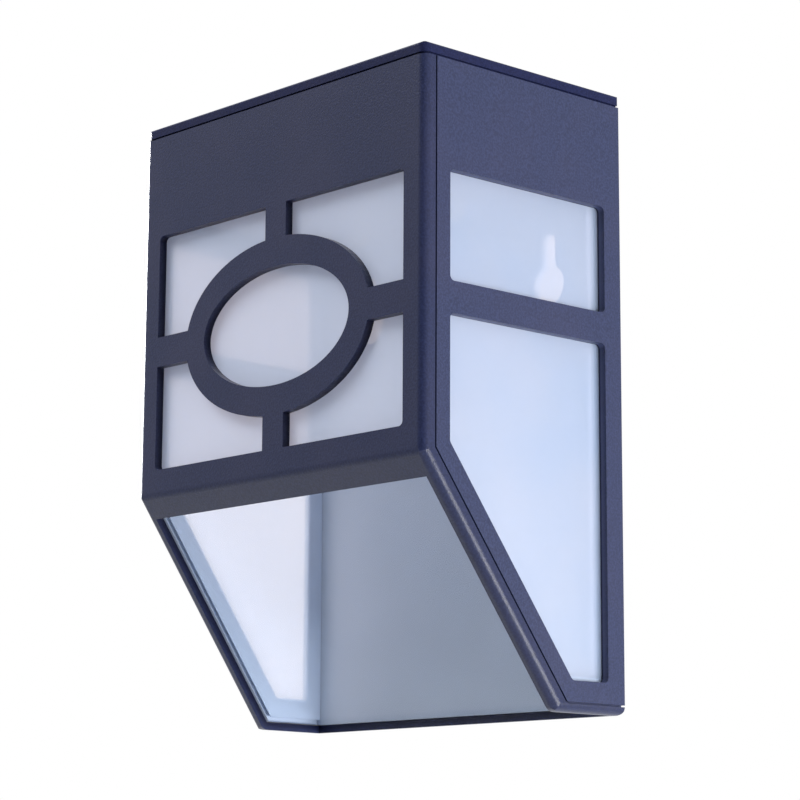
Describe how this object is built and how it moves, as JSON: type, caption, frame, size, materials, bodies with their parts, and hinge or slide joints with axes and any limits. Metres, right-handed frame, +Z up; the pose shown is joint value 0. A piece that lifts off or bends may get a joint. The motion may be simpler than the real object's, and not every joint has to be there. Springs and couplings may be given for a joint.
{
  "type": "solar wall light",
  "caption": "Wall-hung solar light: a tapered lantern box with an oval-ringed front window, sloping lower window, milky diffuser, solar lid, keyhole back plate and slide switch.",
  "frame": {"origin": "on the wall face, midway between the centres of the two keyholes' round entries", "axes": "+Z up, +X across the width to the viewer's right when facing the light, +Y into the wall; the front faces -Y"},
  "size_m": [0.1, 0.059, 0.14],
  "materials": {
    "housing": "fine-grained moulded plastic, dark slate",
    "diffuser": "milky translucent",
    "white_plastic": "satin",
    "solar_cell": "dark blue silicon with printed fingers",
    "clear_resin": "clear, glossy",
    "circuit": "green lacquered board",
    "led_lens": "clear epoxy",
    "black_plastic": "satin",
    "ferrite": "sintered",
    "steel": "nickel plated",
    "cell_sleeve": "shrink sleeve",
    "wire_red": "insulated wire",
    "wire_black": "insulated wire"
  },
  "bodies": {
    "housing": {"front_frame": "housing", "side_panel_left": "housing", "side_panel_right": "housing", "diffuser": "diffuser", "back_plate": "white_plastic", "top_cap": "housing", "solar_board": "circuit", "solar_cells": "solar_cell", "solar_cover": "clear_resin", "led_tray": "white_plastic", "circuit_board": "circuit", "led_left": "led_lens", "led_right": "led_lens", "controller_chip": "black_plastic", "inductor": "ferrite", "switch_body": "steel", "battery_cradle": "black_plastic", "battery_cell": "cell_sleeve", "battery_spring": "steel", "battery_contact": "steel", "panel_wire_red": "wire_red", "panel_wire_black": "wire_black", "battery_wire_red": "wire_red", "battery_wire_black": "wire_black", "lid_screws": "steel", "back_screws": "steel", "board_screws": "steel"},
    "slider": {"switch_slider": "black_plastic"}
  },
  "joints": [
    {"name": "switch_slide", "type": "slide", "parent": "housing", "child": "slider", "axis": [1, 0, 0], "range_m": [0, 0.002]}
  ]
}
